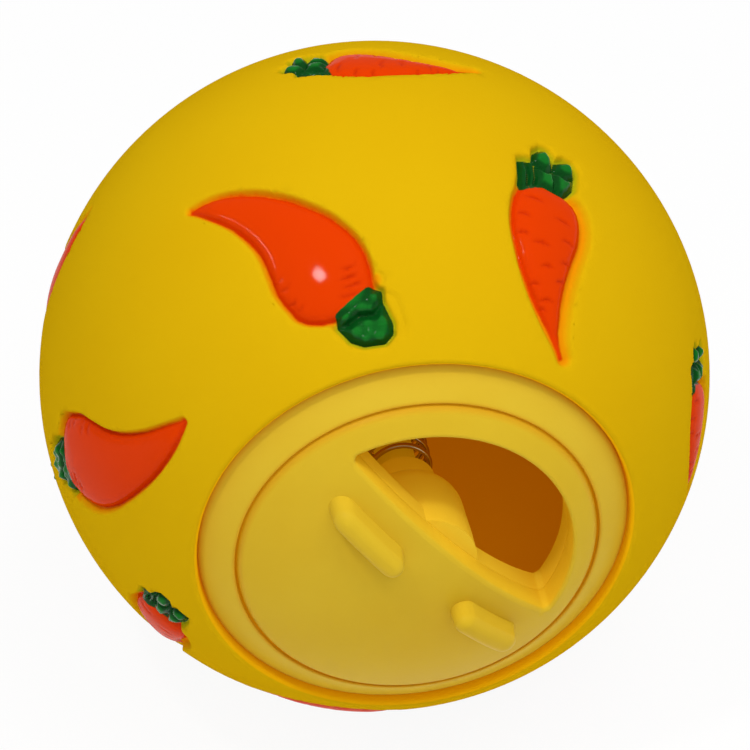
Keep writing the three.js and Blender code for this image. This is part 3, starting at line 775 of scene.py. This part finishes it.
def satin_plastic(name, colours, scales, roughness, gap_shade_radii, gap_shade_share):
    """Satin plastic, with a painted glow for light from behind and painted shade in orange near
    some radii: (radius, width).
    """
    finish = Finish(name, Specular_IOR_Level=0.05, Emission_Strength=1.0)
    cloud = finish.noise(scales[0], 3, 0.55)
    grain = finish.noise(scales[1], 4, 0.7)
    ripple = finish.noise(scales[2], 2, 0.5)
    from_axis = centre_distance(finish, (1, 0, 1))
    # Painted shade near the gaps at these radii
    near = [
        (from_axis - radius * MM).math("ABSOLUTE").fade(0.0, width * MM)
        for radius, width in gap_shade_radii]
    gap_shade = near[0].math("MAXIMUM", near[-1])
    skin = finish.mix(*colours, (cloud - 0.35) * 0.8)
    # Painted light: parts deep in the ball glow, as if lit through the plastic
    behind = centre_distance(finish, (1, 1, 1)).fade(*PAINTED_GLOW_DEPTH)
    finish.feed(
        Base_Color=finish.mix(skin, GAP_SHADE_ORANGE, gap_shade * gap_shade_share),
        Roughness=roughness + (grain - 0.5) * 0.14,
        Emission_Color=finish.mix((0, 0, 0), PAINTED_BACK_GLOW, behind),
    )
    finish.bump(grain + ripple * 0.6, 0.00003, 0.55)
    return finish.material


ring.data.materials.append(satin_plastic(
    "ring_satin_plastic", (RING_YELLOW, RING_DEEP), (70, 3200, 260), 0.40,
    ((RECESS_RADIUS, 0.5), (FLANGE_RADIUS, 0.6)), 0.6))


# Selector disc: the same hard plastic, a domed plate with the same D-shaped opening, two bar
# grips to turn it by and a shaft through the boss. Turning it covers more of the opening.

DISC_RADIUS = 18.22
DISC_THICKNESS = 2.78
GRIP_MIDDLE = 8.85
GRIP_LENGTH = 9.3
GRIP_WIDTH = 2.8
GRIP_HEIGHT = 2.8
GRIP_SINK = 0.6
GRIP_TAPER = (0.84, 0.93, 1)
GRIP_ROUND = 1.05
GRIP_SLICES = (0.6, GRIP_LENGTH / 2 - 0.4, 0.7)
RIM_BAND = 1.2
SLICE_REACH = DISC_RADIUS - 0.55
SLICE_STEP = 1.3
SHAFT_RADIUS = 2.0
SHAFT_END = 7.7
SHAFT_FOOT = 32.0
PILOT_RADIUS = 1.2
PILOT_END = 13.7
disc = bmesh.new()


def outline_edges(solid, outline):
    """A closed loop of edges through flat points."""
    corners = [solid.verts.new((x, y, 0)) for x, y in outline]
    return [solid.edges.new((a, b)) for a, b in zip(corners, corners[1:] + corners[:1])]


rim_loop = outline_edges(disc, arc(0, 0, DISC_RADIUS, 0, 360, 192)[:-1])
inner_loop = outline_edges(disc, arc(0, 0, DISC_RADIUS - RIM_BAND, 0, 360, 192)[:-1])
outer_d = outline_edges(disc, opening_outline(0.5))
inner_d = outline_edges(disc, opening_outline(0))
bmesh.ops.bridge_loops(disc, edges=rim_loop + inner_loop)
bmesh.ops.bridge_loops(disc, edges=outer_d + inner_d)
bmesh.ops.triangle_fill(disc, edges=inner_loop + outer_d, use_beauty=True, normal=(0, 0, 1))
bmesh.ops.recalc_face_normals(disc, faces=disc.faces)
raised(disc, disc.faces[:], -DISC_THICKNESS)
bmesh.ops.recalc_face_normals(disc, faces=disc.faces)
for height, at_rim, rounding, segments in (
        (0, True, 0.6, 6), (0, False, 0.7, 6), (-DISC_THICKNESS, True, 0.2, 3),
        (-DISC_THICKNESS, False, 0.04, 2)):
    sharp = [
        e for e in disc.edges
        if len(e.link_faces) == 2 and e.calc_face_angle() > 1.2
        and all(abs(v.co.z - height) < 1e-4 for v in e.verts)
        and all((v.co.xy.length > DISC_RADIUS - 0.01) == at_rim for v in e.verts)]
    bmesh.ops.bevel(
        disc, geom=sharp, offset=rounding, offset_type="OFFSET", affect="EDGES",
        segments=segments, profile=0.5, material=-1, clamp_overlap=True)


def sliced(solid, reach_x, reach_y, step):
    """Cuts across x and y, so that flat faces can follow a dome."""
    for normal, reach in (((1, 0, 0), reach_x), ((0, 1, 0), reach_y)):
        for place in np.arange(-reach, reach, step):
            bmesh.ops.bisect_plane(
                solid, geom=[*solid.verts, *solid.edges, *solid.faces], dist=1e-4,
                plane_co=Vector(normal) * place, plane_no=normal)


sliced(disc, SLICE_REACH, SLICE_REACH, SLICE_STEP)
for v in disc.verts:
    v.co.z = math.sqrt((RING_DOME + v.co.z) ** 2 - v.co.xy.length_squared)

grips = []
for way in (1, -1):
    grip = bmesh.new()
    half = GRIP_WIDTH / 2
    straight = GRIP_LENGTH / 2 - half
    outline = [*arc(0, straight, half, 0, 180, 20), *arc(0, -straight, half, 180, 360, 20)]
    base = grip.faces.new([grip.verts.new((x, y, -GRIP_SINK)) for x, y in outline])
    crest = raised(grip, [base], GRIP_HEIGHT + GRIP_SINK)
    bmesh.ops.scale(grip, verts=crest, vec=GRIP_TAPER)
    crest_edges = [
        e for e in grip.edges if all(abs(v.co.z - GRIP_HEIGHT) < 1e-4 for v in e.verts)]
    bmesh.ops.bevel(
        grip, geom=crest_edges, offset=GRIP_ROUND, offset_type="OFFSET", affect="EDGES",
        segments=9, profile=0.5, material=-1, clamp_overlap=True)
    sliced(grip, *GRIP_SLICES)
    bmesh.ops.recalc_face_normals(grip, faces=grip.faces)
    bmesh.ops.translate(grip, verts=grip.verts, vec=(0, way * GRIP_MIDDLE, 0))
    for v in grip.verts:
        v.co.z += math.sqrt(RING_DOME ** 2 - v.co.xy.length_squared)
    grips.append(grip)

shaft = turned([
    (0, PILOT_END, 0), (PILOT_RADIUS, PILOT_END, 0), (PILOT_RADIUS, SHAFT_END, 0.1),
    (SHAFT_RADIUS, SHAFT_END, 0.25), (SHAFT_RADIUS, SHAFT_FOOT, 0), (0, SHAFT_FOOT, 0),
], 64)
disc_mesh = combined("UNION", disc, *grips, shaft)
disc_mesh.transform(Matrix.Rotation(OPENING_ANGLE, 4, "Z"))
selector = piece("selector_disc_moulded", disc_mesh, "selector", "disc_plastic", "selector_disc")
disc_mesh.set_sharp_from_angle(angle=SHARP_ANGLE)

DISC_YELLOW = (0.670, 0.445, 0.022)
DISC_DEEP = (0.610, 0.340, 0.004)
selector.data.materials.append(satin_plastic(
    "disc_satin_plastic", (DISC_YELLOW, DISC_DEEP), (60, 3000, 240), 0.38,
    ((DISC_RADIUS, 0.7),), 0.5))


# Spring: one drawn steel wire wound round the shaft, pushed between the boss's collar and
# the washer. It keeps the disc pulled onto the plate, so that it holds where it is turned.

COIL_RADIUS = 3.3
WIRE_RADIUS = 0.3
SPRING_OUTER = 17.3
SPRING_INNER = 7.7
CLOSED_PITCH = 0.68
OPEN_TURNS = 5
TURN_STEPS = 48
wound = bmesh.new()
wire = bmesh.ops.create_circle(wound, segments=12, radius=WIRE_RADIUS)["verts"]
bmesh.ops.rotate(wound, verts=wire, cent=(0, 0, 0), matrix=Matrix.Rotation(math.pi / 2, 3, "X"))
bmesh.ops.translate(wound, verts=wire, vec=(COIL_RADIUS, 0, SPRING_INNER + WIRE_RADIUS))
open_pitch = (SPRING_OUTER - SPRING_INNER - 2 * WIRE_RADIUS - CLOSED_PITCH) / OPEN_TURNS
last = [*wound.verts, *wound.edges]
for turns, pitch in ((1, CLOSED_PITCH), (OPEN_TURNS, open_pitch)):
    last = bmesh.ops.spin(
        wound, geom=last, axis=(0, 0, 1), cent=(0, 0, 0), dvec=(0, 0, pitch / TURN_STEPS),
        angle=math.tau * turns, steps=turns * TURN_STEPS)["geom_last"]
bmesh.ops.holes_fill(wound, edges=[e for e in wound.edges if e.is_boundary], sides=0)
bmesh.ops.recalc_face_normals(wound, faces=wound.faces)
spring_mesh = bpy.data.meshes.new("raw")
wound.to_mesh(spring_mesh)
wound.free()
spring = piece("disc_spring_wound", spring_mesh, "ball", "spring_wire", "disc_spring")
spring_mesh.set_sharp_from_angle(angle=math.radians(50))
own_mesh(spring)

# The steel wire is tinted amber: painted reflection of the yellow vinyl round it
WIRE_REFLECTED_AMBER = (0.62, 0.47, 0.27)
WIRE_STAIN = (0.30, 0.19, 0.09)
wire_finish = Finish("drawn_wire", Metallic=1.0)
drawing = wire_finish.noise(1800, 3, 0.6)
stain = wire_finish.noise(180, 3, 0.6)
wire_finish.feed(
    Base_Color=wire_finish.mix(WIRE_REFLECTED_AMBER, WIRE_STAIN, (stain - 0.3) * 1.4),
    Roughness=0.17 + (drawing - 0.5) * 0.12)
wire_finish.bump(drawing, 0.00001, 0.4)
spring.data.materials.append(wire_finish.material)


# Washer: a zinc-plated steel ring, stamped from sheet. It carries the spring's inner end,
# and the screw's head holds it on the end of the disc's shaft.

WASHER_RADIUS = 4.3
WASHER_TOP = 7.4
WASHER_BOTTOM = 6.6
SCREW_HOLE = 1.2
WASHER_GREY = (0.62, 0.62, 0.60)
washer_solid = turned([
    (SCREW_HOLE, WASHER_BOTTOM, 0.06), (WASHER_RADIUS, WASHER_BOTTOM, 0.12),
    (WASHER_RADIUS, WASHER_TOP, 0.25), (SCREW_HOLE, WASHER_TOP, 0.1),
], 96)
washer_mesh = bpy.data.meshes.new("raw")
washer_solid.to_mesh(washer_mesh)
washer_solid.free()
washer = piece("spring_washer_stamped", washer_mesh, "washer", "washer_steel", "spring_washer")
washer_mesh.set_sharp_from_angle(angle=math.radians(40))


def zinc_finish(name, base):
    """Zinc plate: clouded grey metal with fine brushed grain and small dull spots."""
    finish = Finish(name, Metallic=1.0)
    clouds = finish.noise(240, 4, 0.6)
    grain = finish.noise(3500, 3, 0.7)
    dull = finish.noise(700, 2, 0.5).fade(0.33, 0.42)
    finish.feed(
        Base_Color=finish.mix(base, tuple(value * 0.72 for value in base), (clouds - 0.3) * 1.3),
        Roughness=0.3 + dull * 0.15 + (grain - 0.5) * 0.15)
    finish.bump(grain + clouds * 0.5, 0.00001, 0.4)
    return finish.material


washer.data.materials.append(zinc_finish("zinc_plate", WASHER_GREY))


# Retaining screw: a zinc-plated pan-head screw with a cross recess, driven into the end of
# the shaft from inside the ball. Its head holds the washer on.

HEAD_RADIUS = 2.4
HEAD_TOP = 6.3
HEAD_BOTTOM = 4.8
SHANK_RADIUS = 0.9
SHANK_END = 13.4
THREAD_PITCH = 0.5
THREAD_ROOT = SHANK_RADIUS - 0.17
RECESS_ARM = (2.5, 0.55, 1.6)
RECESS_TAPER = (0.45, 0.6, 1)
RECESS_SINK = 0.15
SCREW_GREY = (0.58, 0.58, 0.57)
thread = []
for place in np.arange(HEAD_TOP + 0.6, SHANK_END - 1.4, THREAD_PITCH):
    thread += [(THREAD_ROOT, place, 0), (SHANK_RADIUS, place + THREAD_PITCH / 2, 0)]
screw_solid = turned([
    (0, HEAD_BOTTOM, 0), (HEAD_RADIUS * 0.55, HEAD_BOTTOM, 0.4),
    (HEAD_RADIUS * 0.9, HEAD_BOTTOM + 0.42, 0.35), (HEAD_RADIUS, HEAD_TOP - 0.25, 0.2),
    (HEAD_RADIUS, HEAD_TOP, 0.05), (SHANK_RADIUS, HEAD_TOP, 0.05), *thread,
    (THREAD_ROOT, SHANK_END - 0.9, 0), (0, SHANK_END, 0),
], 64)
recess_arms = []
for turn in (0, math.pi / 2):
    recess = bmesh.new()
    arm = bmesh.ops.create_cube(recess, size=1)["verts"]
    bmesh.ops.scale(recess, verts=arm, vec=RECESS_ARM)
    narrow = [v for v in arm if v.co.z > 0]
    bmesh.ops.scale(recess, verts=narrow, vec=RECESS_TAPER)
    bmesh.ops.rotate(recess, verts=arm, cent=(0, 0, 0), matrix=Matrix.Rotation(turn, 3, "Z"))
    bmesh.ops.translate(recess, verts=recess.verts, vec=(0, 0, HEAD_BOTTOM + RECESS_SINK))
    recess_arms.append(recess)
screw_mesh = combined("DIFFERENCE", screw_solid, *recess_arms)
screw = piece("retaining_screw_cross", screw_mesh, "selector", "screw_steel", "retaining_screw")
screw_mesh.set_sharp_from_angle(angle=math.radians(35))
screw.data.materials.append(zinc_finish("screw_zinc", SCREW_GREY))
